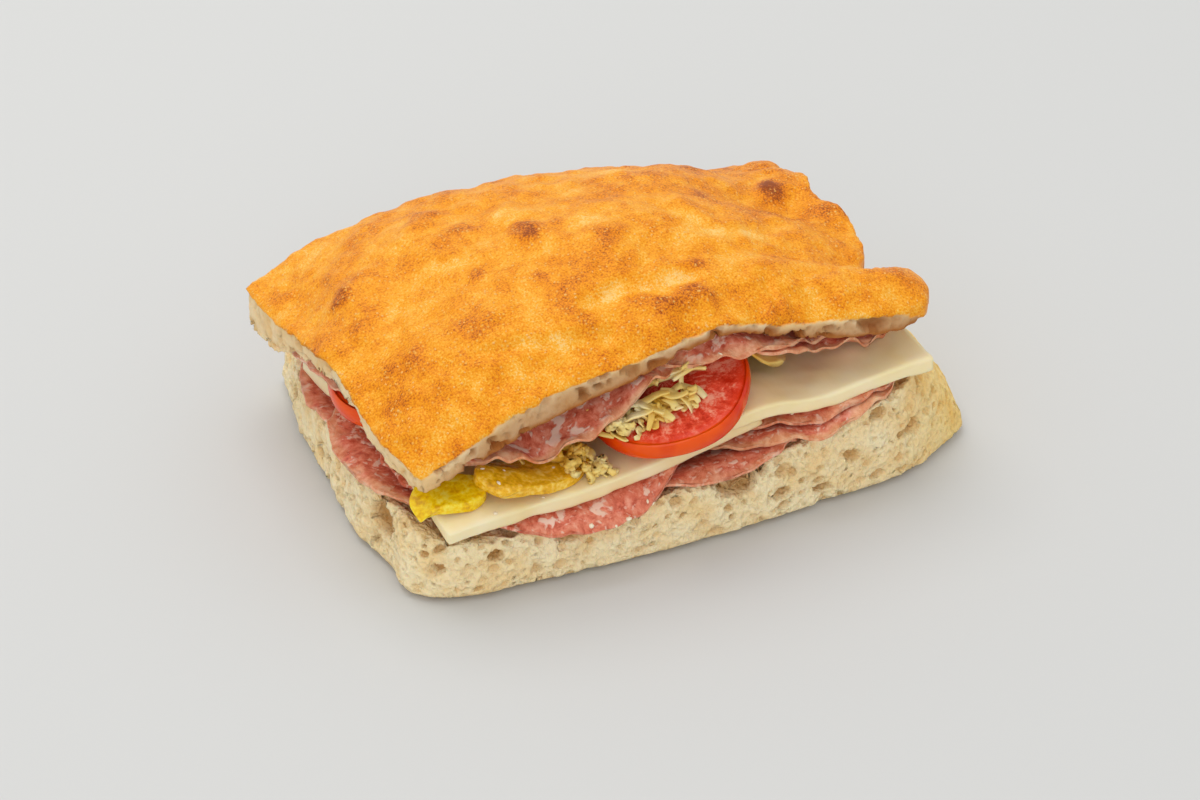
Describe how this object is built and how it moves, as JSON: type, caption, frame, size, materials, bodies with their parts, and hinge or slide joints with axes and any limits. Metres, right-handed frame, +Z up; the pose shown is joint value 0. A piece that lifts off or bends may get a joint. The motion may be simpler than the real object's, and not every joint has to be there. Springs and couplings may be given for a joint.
{
  "type": "sandwich",
  "caption": "Italian sub sandwich: a cut slab of focaccia filled with salami, sliced cheese, tomato, pickled peppers and shredded cabbage.",
  "frame": {"origin": "middle of the footprint's bounding box, on the board", "axes": "X along the cut front face to the right, Y from the cut front to the back, Z up"},
  "size_m": [0.1834, 0.127, 0.0723],
  "materials": {
    "bread_crumb": "matte, open and spongy",
    "bread_crust": "satin, baked and oiled",
    "salami": "moist, marbled with fat",
    "cheese": "satin, waxy",
    "tomato": "glossy skin, wet flesh",
    "pepper": "wet and shiny",
    "pickled_pepper": "wet",
    "cabbage": "wet shreds"
  },
  "bodies": {
    "root": {"bread_base": "bread_crumb", "bread_lid": "bread_crust", "cabbage": "cabbage", "cheese_left": "cheese", "cheese_right": "cheese", "pepper_back": "pepper", "pepper_corner": "pepper", "pepper_front": "pickled_pepper", "salami_base_back_left": "salami", "salami_base_back_right": "salami", "salami_base_front_left": "salami", "salami_base_front_left_under": "salami", "salami_base_front_right": "salami", "salami_base_front_right_under": "salami", "salami_base_middle": "salami", "salami_lid_back_left": "salami", "salami_lid_back_right": "salami", "salami_lid_front_left": "salami", "salami_lid_front_right": "salami", "salami_lid_front_right_under": "salami", "tomato_back": "tomato", "tomato_front": "tomato", "tomato_left": "tomato"}
  },
  "joints": []
}
